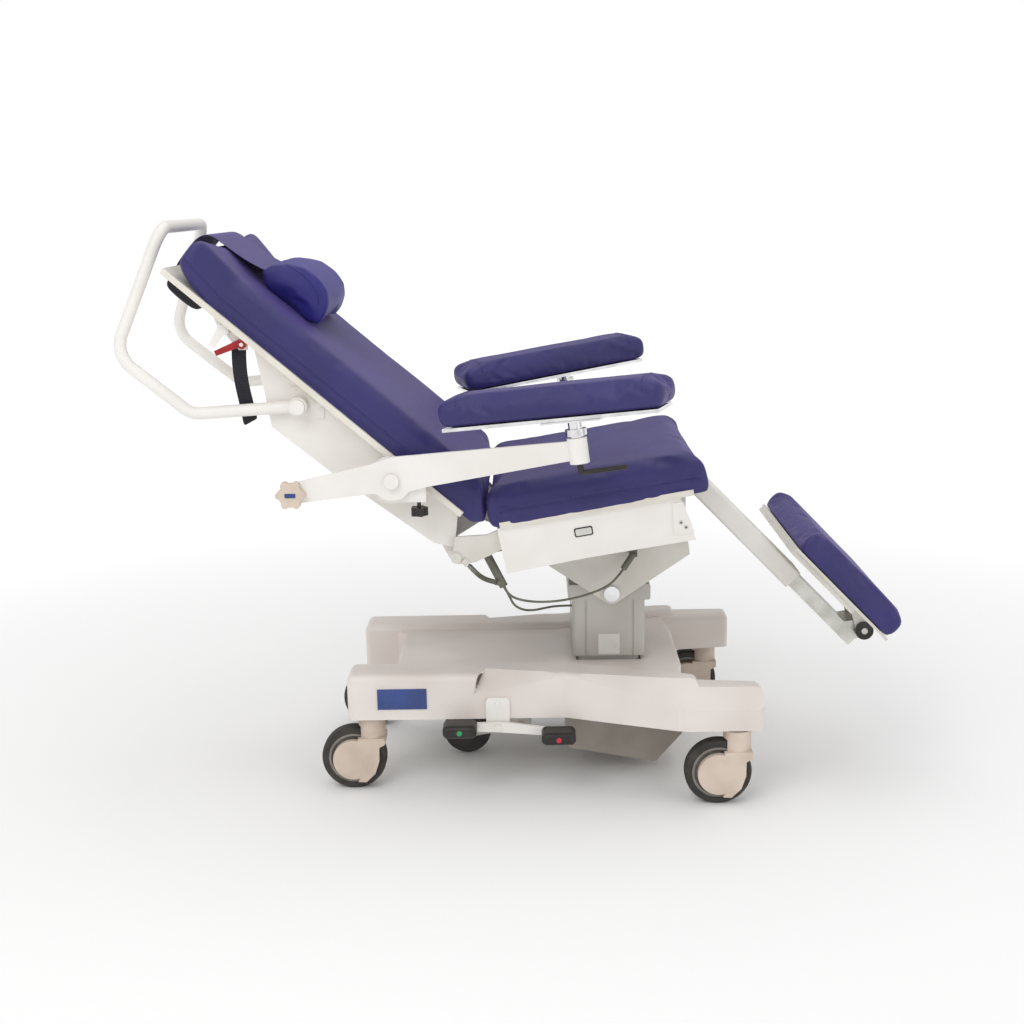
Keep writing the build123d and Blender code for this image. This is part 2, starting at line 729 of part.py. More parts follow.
export(make_base_cover(), "base_cover")
export(make_chassis(), "base_chassis")
make_castors()
export(make_battery_box(), "battery_box")
export(block(-302, -197, -231, -229, 188, 233), "rail_badge")

export(column_stage(67, 98, 5, 208, column_overlap_top), "column_inner")
export(column_stage(72, 103, 4, sleeve_bottom + 1, column_overlap_top), "column_middle")
export(make_column_sleeve(), "column_sleeve")
lift_rod = rod((column_x, 0, 242), (column_x, 0, 388), 14)
export(Compound([make_column_head(), lift_rod]), "column_head")
export(make_tilt_pin(), "tilt_pin")
lift_bore = rod((column_x, 0, 240), (column_x, 0, 386), 14 + running_gap)
export(rod((column_x, 0, 208), (column_x, 0, 380), 25) - lift_bore, "lift_actuator")

export(make_seat_frame(), "seat_frame")
export(make_tilt_bracket(), "tilt_bracket")
export(make_seat_board(), "seat_board")
export(make_seat_cushion(), "seat_cushion")
export(make_side_covers(), "side_covers")
drives = [make_actuator(back_rod_eye, 70, 290), make_actuator(leg_rod_eye, -60, -270)]
export(Compound(drives), "actuators")
export(make_actuator_rod(back_rod_eye, 150), "back_actuator_rod")
export(make_actuator_rod(leg_rod_eye, -150), "leg_actuator_rod")

export(make_back_tray(), "back_tray")
export(make_back_board(), "back_board")
export(make_back_cushion(), "back_cushion")
export(make_pillow(), "pillow")
export(Compound([make_pillow_strap(), make_webbing()]), "head_straps")
export(make_push_handle(), "push_handle")
export(make_release_lever(), "release_lever")
export(make_paddle_lever(), "paddle_lever")
export(Compound(make_arm_brackets() + make_handle_pivots() + [make_lever_bracket()]), "back_brackets")

for side in (-1, 1):
    name = side_name(side)
    export(make_arm_bar(side), f"arm_bar_{name}")
    export(make_armrest_post(side), f"armrest_post_{name}")
    export(make_armrest_pad(side), f"armrest_pad_{name}")
    export(make_arm_lever(side), f"arm_lever_{name}")
    export(make_star_knob(side), f"star_knob_{name}")
    export(make_tail_knob(side), f"tail_knob_{name}")

export(make_leg_tube(), "leg_tube")
export(make_leg_slide(), "leg_slide")
export(make_calf_tray(), "calf_tray")
export(make_calf_discs(), "calf_discs")
export(make_calf_pad(), "calf_pad")

export(make_pedal_bracket(), "pedal_bracket")
export(Compound([make_pedal_rocker()] + make_pedal_pads()), "pedal_rocker")
export(make_fifth_arm(), "steering_arm")
fifth_wheel, fifth_axle = make_fifth_wheel()
export(Compound([fifth_wheel, fifth_axle]), "steering_wheel")

export(make_cable_sleeve(), "cable_sleeve")
export(tube(seat_cable_route, 2.5), "seat_cable")
export(tube(curly_route, curly_radius), "curly_cord")
export(tube(column_cable_route, 2.5), "column_cable")
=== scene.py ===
from math import cos, pi, radians, sin, sqrt

import bmesh
import bpy
from mathutils import Matrix, Vector, noise


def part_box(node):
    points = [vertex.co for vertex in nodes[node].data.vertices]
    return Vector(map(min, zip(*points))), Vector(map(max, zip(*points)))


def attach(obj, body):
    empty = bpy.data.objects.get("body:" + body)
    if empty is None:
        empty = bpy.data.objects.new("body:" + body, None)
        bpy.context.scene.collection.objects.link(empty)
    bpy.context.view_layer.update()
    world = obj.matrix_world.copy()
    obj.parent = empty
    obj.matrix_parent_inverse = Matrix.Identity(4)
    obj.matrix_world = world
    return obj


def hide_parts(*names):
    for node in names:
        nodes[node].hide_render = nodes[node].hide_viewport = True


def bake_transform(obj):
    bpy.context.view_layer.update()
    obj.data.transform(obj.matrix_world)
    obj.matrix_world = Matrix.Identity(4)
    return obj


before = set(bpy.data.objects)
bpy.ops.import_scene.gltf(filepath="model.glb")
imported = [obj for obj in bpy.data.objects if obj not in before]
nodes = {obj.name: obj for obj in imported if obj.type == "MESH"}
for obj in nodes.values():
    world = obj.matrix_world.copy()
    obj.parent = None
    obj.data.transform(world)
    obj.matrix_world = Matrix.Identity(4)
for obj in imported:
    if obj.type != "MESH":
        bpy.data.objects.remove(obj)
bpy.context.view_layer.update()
print("frame loaded,", len(nodes), "nodes")

mm = 0.001
sides = {"near": -1, "far": 1}
castorNames = ("rear_near", "rear_far", "front_near", "front_far")


# local frames that the soft parts are drawn in: a tilt about Y, after a turn about Z
def localFrame(x, y, z, tilt, turn=0.0):
    shift = Matrix.Translation((x * mm - 0.006477, y * mm, z * mm))
    return shift @ Matrix.Rotation(radians(turn), 4, "Z") @ Matrix.Rotation(radians(tilt), 4, "Y")


seatFrame = localFrame(0, 0, 609.3, -9.0)
backFrame = localFrame(-78, 0, 603, 41.0)
legFrame = localFrame(385, 0, 640, 46.0)
armFrames = {name: localFrame(125, side * 395, 770, -7.1, side * 19.5) for name, side in sides.items()}


def designPoint(x, y, z):
    return Vector((x * mm - 0.006477, y * mm, z * mm))


# camera
cameraPlace = {
    "location": (0.02852, -3.1106, 1.2482),
    "yaw": 0.847,
    "pitch": 12.409,
    "roll": -1.149,
    "lens": 50.27,
}


def makeCamera(s):
    yaw, pitch, roll = (radians(s[key]) for key in ("yaw", "pitch", "roll"))
    forward = Vector((-sin(yaw) * cos(pitch), cos(yaw) * cos(pitch), -sin(pitch)))
    level = Vector((cos(yaw), sin(yaw), 0))
    upright = level.cross(forward)
    right = level * cos(roll) + upright * sin(roll)
    up = upright * cos(roll) - level * sin(roll)
    turned = Matrix((right, up, -forward)).transposed().to_4x4()
    data = bpy.data.cameras.new("camera")
    data.sensor_width = 36
    data.lens = s["lens"]
    data.clip_end = 60
    camera = bpy.data.objects.new("camera", data)
    camera.matrix_world = Matrix.Translation(s["location"]) @ turned
    bpy.context.scene.collection.objects.link(camera)
    bpy.context.scene.camera = camera


makeCamera(cameraPlace)


# materials
def srgb(code, alpha=1.0):
    channels = [int(code[i : i + 2], 16) / 255 for i in (1, 3, 5)]
    linear = [c / 12.92 if c <= 0.04045 else ((c + 0.055) / 1.055) ** 2.4 for c in channels]
    return (*linear, alpha)


def addNode(tree, kind, inputs=None, **settings):
    node = tree.nodes.new(kind)
    for key, value in settings.items():
        setattr(node, key, value)
    for key, value in (inputs or {}).items():
        if isinstance(value, bpy.types.NodeSocket):
            tree.links.new(value, node.inputs[key])
        else:
            node.inputs[key].default_value = value
    return node


def startMaterial(name, roughness, metallic=0.0, ior=1.5, **sockets):
    material = bpy.data.materials.new(name)
    material.use_nodes = True
    tree = material.node_tree
    shader = tree.nodes["Principled BSDF"]
    shader.inputs["Roughness"].default_value = roughness
    shader.inputs["Metallic"].default_value = metallic
    if not metallic:
        shader.inputs["IOR"].default_value = ior
    for key, value in sockets.items():
        shader.inputs[key].default_value = value
    return material, tree, shader


def patternScale(sizeMm):
    return 1000 / sizeMm  # textures count in metres


def objectCoords(tree):
    return addNode(tree, "ShaderNodeTexCoord").outputs["Object"]


def noiseAt(tree, coords, sizeMm, detail=3.0):
    inputs = {"Vector": coords, "Scale": patternScale(sizeMm), "Detail": detail}
    return addNode(tree, "ShaderNodeTexNoise", inputs).outputs["Fac"]


def blendColours(tree, factor, first, second):
    node = addNode(tree, "ShaderNodeMix", {0: factor, 6: first, 7: second}, data_type="RGBA")
    return node.outputs[2]


def spread(tree, value, low, high, toLow, toHigh):
    inputs = {"Value": value, "From Min": low, "From Max": high, "To Min": toLow, "To Max": toHigh}
    return addNode(tree, "ShaderNodeMapRange", inputs).outputs["Result"]


def addBump(tree, height, distanceMm, strength=1.0, before=None):
    inputs = {"Height": height, "Distance": distanceMm * mm, "Strength": strength}
    if before is not None:
        inputs["Normal"] = before
    return addNode(tree, "ShaderNodeBump", inputs).outputs["Normal"]


def hardFinish(name, s):
    material, tree, shader = startMaterial(name, s["rough"], s.get("metallic", 0.0), s.get("ior", 1.5))
    coords = objectCoords(tree)
    cloud = noiseAt(tree, coords, s["cloud"], 2.0)
    tint = blendColours(tree, spread(tree, cloud, 0.35, 0.65, 0, 1), srgb(s["deep"]), srgb(s["colour"]))
    tree.links.new(tint, shader.inputs["Base Color"])
    grain = noiseAt(tree, coords, s["grain"])
    rough = spread(tree, grain, 0.3, 0.7, s["rough"] - 0.05, s["rough"] + 0.07)
    tree.links.new(rough, shader.inputs["Roughness"])
    tree.links.new(addBump(tree, grain, s["bump"]), shader.inputs["Normal"])
    if "coat" in s:
        shader.inputs["Coat Weight"].default_value = s["coat"]
        shader.inputs["Coat Roughness"].default_value = 0.2
    return material


hardFinishes = {
    # powder coat over steel: warm white with a fine orange peel, drawn at 3 mm so that it shows
    "powderCoatWhite": dict(colour="#F1EEEA", deep="#E9E5DF", rough=0.42, cloud=140, grain=3.0, bump=0.03),
    # the same coat on the frame under the pads, painted a shade greyer: painted shade for where the pads shadow it
    "powderCoatWhitePaintedShade": dict(colour="#DEDBD3", deep="#D0CCC3", rough=0.45, cloud=90, grain=3.0, bump=0.03),
    # vacuum-formed ABS: pinkish white, nearly smooth, softly uneven gloss
    "formedAbs": dict(colour="#EBE3DE", deep="#DED4CD", rough=0.36, cloud=220, grain=6.0, bump=0.03),
    # injection-moulded nylon castor housings: beige, matt, fine spark texture
    "mouldedNylonBeige": dict(colour="#DCCCBD", deep="#CDBBAA", rough=0.5, cloud=60, grain=1.6, bump=0.05),
    # glass-filled nylon grips: nearly black brown
    "mouldedNylonBlack": dict(colour="#2B2622", deep="#1C1815", rough=0.38, cloud=40, grain=1.4, bump=0.06),
    # textured ABS of the battery housing: taupe
    "texturedAbsTaupe": dict(colour="#A79F96", deep="#958D84", rough=0.55, cloud=90, grain=1.8, bump=0.08),
    # satin anodised aluminium of the column
    "anodisedAluminium": dict(colour="#C2BFB8", deep="#B0ACA5", rough=0.4, metallic=0.2, cloud=160, grain=1.2,
                              bump=0.015),
    # bright chrome plate: pins, posts and collars
    "chromePlate": dict(colour="#E4E4E4", deep="#CFCFD1", rough=0.12, metallic=1.0, cloud=30, grain=5.0, bump=0.004),
    # zinc-plated steel of the inner bars and screws, a little dull
    "zincPlate": dict(colour="#D7D6D0", deep="#C2C1BA", rough=0.3, metallic=0.8, cloud=45, grain=2.0, bump=0.015),
    # white melamine edge of the boards under the pads
    "melamineBoard": dict(colour="#E9E4DA", deep="#DCD6CA", rough=0.5, cloud=80, grain=4.0, bump=0.03),
    # glossy cast acrylic of the plain blue badge
    "acrylicBlue": dict(colour="#22438B", deep="#1B3878", rough=0.22, cloud=70, grain=6.0, bump=0.01, coat=0.4),
    # red nylon handle
    "mouldedNylonRed": dict(colour="#A81A1A", deep="#8C1212", rough=0.34, cloud=30, grain=1.6, bump=0.04),
    # solid rubber tyre: charcoal, chalky with dust
    "tyreRubber": dict(colour="#433F3C", deep="#33302D", rough=0.72, cloud=25, grain=1.5, bump=0.12),
    # grey thermoplastic ring between hub and tyre
    "ringPolyurethane": dict(colour="#958F88", deep="#857F78", rough=0.55, cloud=25, grain=2.0, bump=0.05),
    # soft PVC jackets: grey green
    "softPvc": dict(colour="#757466", deep="#636255", rough=0.48, cloud=30, grain=2.0, bump=0.03),
    # printed film labels, left blank
    "blankFilm": dict(colour="#D9D8D2", deep="#CFCEC7", rough=0.3, cloud=40, grain=8.0, bump=0.005),
    "pedalGreen": dict(colour="#2E9E5B", deep="#24844A", rough=0.35, cloud=10, grain=2.0, bump=0.01),
    "pedalRed": dict(colour="#D62A4A", deep="#BC1F3C", rough=0.35, cloud=10, grain=2.0, bump=0.01),
}
finishes = {name: hardFinish(name, s) for name, s in hardFinishes.items()}


def vinylFinish(name, s):
    # coated fabric: close leather grain, soft folds in the foam below, a violet bloom at grazing light
    sockets = {"Sheen Weight": s["sheen"], "Sheen Roughness": 0.45, "Sheen Tint": srgb(s["bloom"])}
    material, tree, shader = startMaterial(name, s["rough"], **sockets)
    coords = objectCoords(tree)
    cloud = noiseAt(tree, coords, s["cloud"], 2.0)
    tint = blendColours(tree, spread(tree, cloud, 0.35, 0.65, 0, 1), srgb(s["deep"]), srgb(s["colour"]))
    tree.links.new(tint, shader.inputs["Base Color"])
    inputs = {"Vector": coords, "Scale": patternScale(s["grain"])}
    cells = addNode(tree, "ShaderNodeTexVoronoi", inputs, feature="DISTANCE_TO_EDGE").outputs["Distance"]
    grain = spread(tree, cells, 0.0, 0.22, 0.0, 1.0)
    rough = spread(tree, grain, 0.0, 1.0, s["rough"] + 0.08, s["rough"] - 0.04)
    tree.links.new(rough, shader.inputs["Roughness"])
    folds = addBump(tree, noiseAt(tree, coords, s["fold"], 1.5), s["foldDepth"])
    tree.links.new(addBump(tree, grain, s["bump"], before=folds), shader.inputs["Normal"])
    return material


vinylFinishes = {
    "coatedVinylIndigo": dict(colour="#2F2A6B", deep="#292460", bloom="#9B86C8", sheen=0.35, rough=0.5,
                              cloud=160, grain=3.2, bump=0.12, fold=70, foldDepth=1.2),
    "coatedVinylBlue": dict(colour="#28237A", deep="#221D6B", bloom="#8C80D0", sheen=0.3, rough=0.5,
                            cloud=120, grain=3.2, bump=0.12, fold=60, foldDepth=0.8),
}
for name, s in vinylFinishes.items():
    finishes[name] = vinylFinish(name, s)


def wovenFinish(name, s):
    # nylon webbing: a plain weave of threads, drawn at 3 mm so that it shows
    material, tree, shader = startMaterial(name, s["rough"])
    coords = objectCoords(tree)
    waves = []
    for direction in ("X", "Z"):
        inputs = {"Vector": coords, "Scale": patternScale(s["thread"]) / 6.3}
        wave = addNode(tree, "ShaderNodeTexWave", inputs, wave_type="BANDS", bands_direction=direction)
        waves.append(wave.outputs["Fac"])
    weave = addNode(tree, "ShaderNodeMath", {0: waves[0], 1: waves[1]}, operation="MULTIPLY").outputs[0]
    tree.links.new(blendColours(tree, weave, srgb(s["deep"]), srgb(s["colour"])), shader.inputs["Base Color"])
    tree.links.new(addBump(tree, weave, s["bump"]), shader.inputs["Normal"])
    return material


webbingWeave = dict(colour="#23202E", deep="#12101A", rough=0.75, thread=3.0, bump=0.3)
finishes["wovenNylonBlack"] = wovenFinish("wovenNylonBlack", webbingWeave)
print("materials made:", len(finishes))


def dress(piece, *names):
    piece.data.materials.clear()
    for name in names:
        piece.data.materials.append(finishes[name])


nodeFinishes = {
    "formedAbs": ["base_cover"],
    # the frame and the parts under the seat and pads take the greyer copy of the white coat, painted shade
    "powderCoatWhitePaintedShade": ["base_chassis", "seat_frame", "tilt_bracket", "steering_arm", "calf_tray"],
    "powderCoatWhite": ["side_covers", "back_tray", "back_brackets", "push_handle", "leg_tube", "paddle_lever",
                        "pedal_bracket", "arm_bar_near", "arm_bar_far"],
    "anodisedAluminium": ["column_inner", "column_middle", "column_sleeve", "column_head"],
    "melamineBoard": ["seat_board", "back_board"],
    "chromePlate": ["tilt_pin", "armrest_post_near", "armrest_post_far", "back_actuator_rod", "leg_actuator_rod"],
    "zincPlate": ["leg_slide"],
    "mouldedNylonBlack": ["arm_lever_near", "arm_lever_far", "star_knob_near", "star_knob_far", "calf_discs",
                          "lift_actuator", "actuators"],
    "texturedAbsTaupe": ["battery_box"],
    "mouldedNylonBeige": ["tail_knob_near", "tail_knob_far"] + ["castor_fork_" + name for name in castorNames],
    "acrylicBlue": ["rail_badge"],
    "mouldedNylonRed": ["release_lever"],
    "softPvc": ["cable_sleeve"],
}
for finishName, members in nodeFinishes.items():
    for member in members:
        dress(nodes[member], finishName)


def dressByFace(node, finishNames, choose):
    dress(nodes[node], *finishNames)
    mesh = nodes[node].data
    for face in mesh.polygons:
        face.material_index = choose(face.center, [mesh.vertices[k].co for k in face.vertices])


wheelBands = {"hub": 30, "ring": 55.5}  # radii in mm that the hub and its ring reach; the tyre lies beyond


def dressWheel(name):
    low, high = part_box("castor_wheel_" + name)
    middle = (low + high) / 2

    def band(centre, corners):
        reach = max(sqrt((at.x - middle.x) ** 2 + (at.z - middle.z) ** 2) for at in corners) / mm
        return 0 if reach < wheelBands["hub"] else 1 if reach < wheelBands["ring"] else 2

    dressByFace("castor_wheel_" + name, ("mouldedNylonBeige", "ringPolyurethane", "tyreRubber"), band)


for name in castorNames:
    dressWheel(name)
dressByFace("steering_wheel", ("tyreRubber", "zincPlate"), lambda at, corners: 1 if abs(at.y) > 15.5 * mm else 0)
dressByFace("pedal_rocker", ("powderCoatWhite", "mouldedNylonBlack"),
            lambda at, corners: 1 if at.y < -246.2 * mm else 0)


# cords: control points as in the part, in the chair's own millimetres
leads = {
    "seat_cable": dict(
        diameter=5, length=0.299, exit=(-28, -229, 455), body="seat", farEnd="object", lay="hanging",
        route=[(-28, -229, 455), (-19, -229, 436.7), (8, -222, 422), (56, -204, 412), (112, -184, 412),
               (164, -168, 422), (206, -160, 440), (226, -158, 470)],
    ),
    "column_cable": dict(
        diameter=5, length=0.257, exit=(-28, -221, 455), body="seat", farEnd="object", lay="hanging",
        route=[(-28, -221, 455), (-18, -221, 434.7), (-8, -208, 408), (12, -178, 388), (36, -138, 376),
               (58, -98, 369), (84, -72, 366), (118, -72, 366)],
    ),
}
coiledLead = dict(
    route=[(-100, -255, 511), (-83, -255, 490), (-62, -248, 474), (-44, -236, 467)],
    coilRadius=4.2, wireRadius=1.35, turns=23, perTurn=14,
)


def routeCurve(name, route, radius=0.0):
    data = bpy.data.curves.new(name, "CURVE")
    data.dimensions = "3D"
    spline = data.splines.new("NURBS")
    spline.points.add(len(route) - 1)
    for point, at in zip(spline.points, route):
        point.co = (*designPoint(*at), 1)
    spline.order_u = 3
    spline.use_endpoint_u = True
    spline.resolution_u = 16
    data.bevel_depth = radius
    data.bevel_resolution = 5
    data.use_fill_caps = True
    curve = bpy.data.objects.new(name, data)
    bpy.context.scene.collection.objects.link(curve)
    return curve


def readLine(curve):
    bpy.context.view_layer.update()
    mesh = bpy.data.meshes.new_from_object(curve.evaluated_get(bpy.context.evaluated_depsgraph_get()))
    points = [vertex.co.copy() for vertex in mesh.vertices]
    bpy.data.meshes.remove(mesh)
    return points


def evenly(points, count):
    lengths = [0.0]
    for a, b in zip(points, points[1:]):
        lengths.append(lengths[-1] + (b - a).length)
    result, k = [], 0
    for i in range(count):
        want = lengths[-1] * i / (count - 1)
        while k < len(points) - 2 and lengths[k + 1] < want:
            k += 1
        share = (want - lengths[k]) / max(lengths[k + 1] - lengths[k], 1e-9)
        result.append(points[k].lerp(points[k + 1], min(max(share, 0), 1)))
    return result


def carried(points):
    # frames carried along a line without twist: a tangent and two directions across it for each point
    tangents = [(points[min(i + 1, len(points) - 1)] - points[max(i - 1, 0)]).normalized() for i in range(len(points))]
    across = tangents[0].orthogonal().normalized()
    frames = []
    for tangent in tangents:
        across = (across - tangent * across.dot(tangent)).normalized()
        frames.append((tangent, across, tangent.cross(across)))
    return frames


def meshObject(name, mesh, *finishNames):
    piece = bpy.data.objects.new(name, mesh)
    bpy.context.scene.collection.objects.link(piece)
    dress(piece, *finishNames)
    return piece


def tubeMesh(name, points, radius, sides=10):
    mesh = bpy.data.meshes.new(name)
    bm = bmesh.new()
    rings = []
    for at, (_, u, v) in zip(points, carried(points)):
        turn = [2 * pi * k / sides for k in range(sides)]
        rings.append([bm.verts.new(at + (u * cos(t) + v * sin(t)) * radius) for t in turn])
    for a, b in zip(rings, rings[1:]):
        for k in range(sides):
            bm.faces.new((a[k], a[(k + 1) % sides], b[(k + 1) % sides], b[k]))
    bm.faces.new(list(reversed(rings[0])))
    bm.faces.new(rings[-1])
    bmesh.ops.recalc_face_normals(bm, faces=bm.faces)
    for face in bm.faces:
        face.smooth = len(face.verts) == 4
    bm.to_mesh(mesh)
    bm.free()
    return mesh


def makeSeatCable(s):
    lead = routeCurve("seat_lead", s["route"], s["diameter"] / 2 * mm)
    lead.data.materials.append(finishes["softPvc"])
    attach(lead, "seat")
    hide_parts("seat_cable")


def makeColumnCable(s):
    guide = routeCurve("column_guide", s["route"])
    points = evenly(readLine(guide), 90)
    bpy.data.objects.remove(guide)
    lead = meshObject("column_lead", tubeMesh("column_lead", points, s["diameter"] / 2 * mm), "softPvc")
    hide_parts("column_cable")
    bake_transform(lead)


def makeCoiledLead(s):
    guide = routeCurve("coil_guide", s["route"])
    steps = s["turns"] * s["perTurn"] + 1
    line = evenly(readLine(guide), steps)
    bpy.data.objects.remove(guide)
    helix = []
    for i, (at, (_, u, v)) in enumerate(zip(line, carried(line))):
        turn = 2 * pi * i / s["perTurn"]
        ease = min(1, i / s["perTurn"], (steps - 1 - i) / s["perTurn"])  # the ends run in to the middle
        helix.append(at + (u * cos(turn) + v * sin(turn)) * s["coilRadius"] * mm * ease)
    wire = 2 * s["wireRadius"] * mm
    lead = meshObject("coiled_lead", tubeMesh("coiled_lead", helix, wire / 2, 8), "softPvc")
    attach(lead, "seat")
    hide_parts("curly_cord")


makeSeatCable(leads["seat_cable"])
makeColumnCable(leads["column_cable"])
makeCoiledLead(coiledLead)
print("cords made")


# cushions: foam in coated vinyl, each swelled by a short cloth simulation
def bevelledBlock(s):
    x0, x1, y0, y1, z0, z1 = s["box"]
    bm = bmesh.new()
    bmesh.ops.create_cube(bm, size=1)
    for vert in bm.verts:
        vert.co = Vector((x0 if vert.co.x < 0 else x1, y0 if vert.co.y < 0 else y1, z0 if vert.co.z < 0 else z1)) * mm
    bmesh.ops.bevel(bm, geom=bm.edges[:], offset=s["round"] * mm, segments=5, profile=0.5, affect="EDGES")
    return bm


def extrudedForm(s):
    # an outline along and across the back, carried from side to side
    bm = bmesh.new()
    y0, y1 = s["width"]
    ends = [[bm.verts.new((x * mm, y * mm, z * mm)) for x, z in s["outline"]] for y in (y0, y1)]
    count = len(s["outline"])
    for k in range(count):
        bm.faces.new((ends[0][k], ends[0][(k + 1) % count], ends[1][(k + 1) % count], ends[1][k]))
    caps = [bm.faces.new(ends[0]), bm.faces.new(ends[1])]
    bmesh.ops.recalc_face_normals(bm, faces=bm.faces)
    rims = {edge for face in caps for edge in face.edges}
    bmesh.ops.bevel(bm, geom=list(rims), offset=s["round"] * mm, segments=4, profile=0.5, affect="EDGES")
    return bm


def voxelSkin(piece, size):
    remesh = piece.modifiers.new("skin", "REMESH")
    remesh.mode = "VOXEL"
    remesh.voxel_size = size * mm
    smooth = piece.modifiers.new("even", "SMOOTH")
    smooth.iterations = 4
    smooth.factor = 0.5
    bakeModifiers(piece)


def bakeModifiers(piece):
    bpy.context.view_layer.update()
    made = bpy.data.meshes.new_from_object(piece.evaluated_get(bpy.context.evaluated_depsgraph_get()))
    old = piece.data
    piece.modifiers.clear()
    piece.data = made
    made.name = piece.name
    bpy.data.meshes.remove(old)


def swell(piece, s, held):
    group = piece.vertex_groups.new(name="held")
    group.add(held, 1.0, "REPLACE")
    start = [vertex.co.copy() for vertex in piece.data.vertices]
    cloth = piece.modifiers.new("cloth", "CLOTH")
    cloth.settings.quality = 4
    cloth.settings.mass = 0.35
    cloth.settings.tension_stiffness = 12
    cloth.settings.compression_stiffness = 12
    cloth.settings.shear_stiffness = 6
    cloth.settings.bending_stiffness = 1.5
    cloth.settings.shrink_min = -s.get("slack", 0.01)
    cloth.settings.use_pressure = True
    cloth.settings.uniform_pressure_force = s.get("pressure", 4.0)
    cloth.settings.effector_weights.gravity = 0
    cloth.settings.vertex_group_mass = "held"
    cloth.point_cache.frame_start, cloth.point_cache.frame_end = 1, 20
    for frameNumber in range(1, 21):
        bpy.context.scene.frame_set(frameNumber)
    swollen = piece.evaluated_get(bpy.context.evaluated_depsgraph_get()).data
    moved = [vertex.co.copy() for vertex in swollen.vertices]
    piece.modifiers.clear()
    piece.vertex_groups.clear()
    bpy.context.scene.frame_set(1)
    most = s["cap"] * mm
    for vertex, a, b in zip(piece.data.vertices, start, moved):
        step = b - a
        vertex.co = a + step * min(1, most / max(step.length, 1e-9))
    relax = piece.modifiers.new("relax", "SMOOTH")
    relax.iterations = 2
    relax.factor = 0.4
    bakeModifiers(piece)


def makeCushion(name, s):
    bm = extrudedForm(s) if "outline" in s else bevelledBlock(s)
    mesh = bpy.data.meshes.new(name)
    bm.to_mesh(mesh)
    bm.free()
    piece = meshObject(name, mesh, s["finish"])
    voxelSkin(piece, s["voxel"])
    if "shape" in s:
        for vertex in piece.data.vertices:
            vertex.co = s["shape"](vertex.co / mm) * mm
    floorOf = s["heldBelow"] * mm
    held = [vertex.index for vertex in piece.data.vertices if vertex.co.z < floorOf]
    swell(piece, s, held)
    for vertex in piece.data.vertices:  # soft hollows where people sit and hands press, too broad for the grain
        ripple = noise.noise(vertex.co * patternScale(s.get("ripple", 90)) * 0.5)
        if vertex.co.z > floorOf:
            vertex.co.z += ripple * s.get("rippleDepth", 1.2) * mm
    piece.data.transform(s["frame"])
    for polygon in piece.data.polygons:
        polygon.use_smooth = True
    dress(piece, s["finish"])
    for polygon in piece.data.polygons:
        polygon.material_index = 0
    divide = piece.modifiers.new("fine", "SUBSURF")
    divide.levels = divide.render_levels = 1
    bakeModifiers(piece)
    print("cushion", name, len(piece.data.vertices), "points")
    return piece


headBend = {"from": 675, "slope": 0.165, "lowerEnd": 27}


def backShape(at):
    # the head section turns up a little, and the lower end is cut upright to meet the seat
    along = -at.x
    if along > headBend["from"]:
        at.z += (along - headBend["from"]) * headBend["slope"]
    if along < 150:
        share = 1 - (along - headBend["lowerEnd"]) / (150 - headBend["lowerEnd"])
        share = min(max(share, 0), 1) ** 2
        reach = 52 - 0.9 * max(at.z, 0)  # the underside runs on past the top
        at.x += max(reach, 6) * share
    return at


def seatShape(at):
    # the front edge rolls down over the knees
    if at.x > 330:
        drop = ((at.x - 330) / 80) ** 2
        at.z -= 7 * drop * max(at.z, 0) / 64
    return at


cushions = {
    "seat_pad": dict(frame=seatFrame, box=(-60, 404, -294, 294, -12, 60), round=19, voxel=7, heldBelow=-8, cap=14,
                     shape=seatShape, finish="coatedVinylIndigo", ripple=110, rippleDepth=2.0),
    "back_pad": dict(frame=backFrame, box=(-790, -27, -294, 294, -8, 60), round=19, voxel=8, heldBelow=-5, cap=16,
                     shape=backShape, finish="coatedVinylIndigo", ripple=120, rippleDepth=2.0),
    "head_roll": dict(frame=backFrame, width=(-144, 144), round=7, voxel=5, heldBelow=70, cap=7,
                      outline=[(-662, 96), (-653, 120), (-628, 142), (-601, 156), (-564, 159), (-534, 151),
                               (-516, 134), (-505, 109), (-503, 84), (-530, 76), (-640, 78)],
                      finish="coatedVinylBlue", ripple=60, rippleDepth=1.0, slack=0.015),
    "calf_rest": dict(frame=legFrame, box=(218, 503, -231, 231, 65, 112), round=15, voxel=6, heldBelow=69, cap=10,
                      finish="coatedVinylIndigo", ripple=80, rippleDepth=1.6),
}


def makeArmPad(name, side):
    middle = -side * 30
    s = dict(frame=armFrames[name], box=(-275, 185, middle - 61, middle + 61, 69, 121), round=18, voxel=5,
             heldBelow=73, cap=9, finish="coatedVinylIndigo", ripple=70, rippleDepth=1.6)
    pad = makeCushion("arm_rest_" + name, s)
    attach(pad, "rest_" + name)
    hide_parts("armrest_pad_" + name)
    return pad


pads = {name: makeCushion(name, s) for name, s in cushions.items()}
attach(pads["seat_pad"], "seat")
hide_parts("seat_cushion")
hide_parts("back_cushion")
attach(pads["head_roll"], "head_roll")
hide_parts("pillow")
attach(pads["calf_rest"], "calf")
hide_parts("calf_pad")
for name, side in sides.items():
    pads["arm_" + name] = makeArmPad(name, side)


def backPoint(along, y, above):
    return backFrame @ (Vector((-along, y, above)) * mm)


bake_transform(pads["back_pad"])


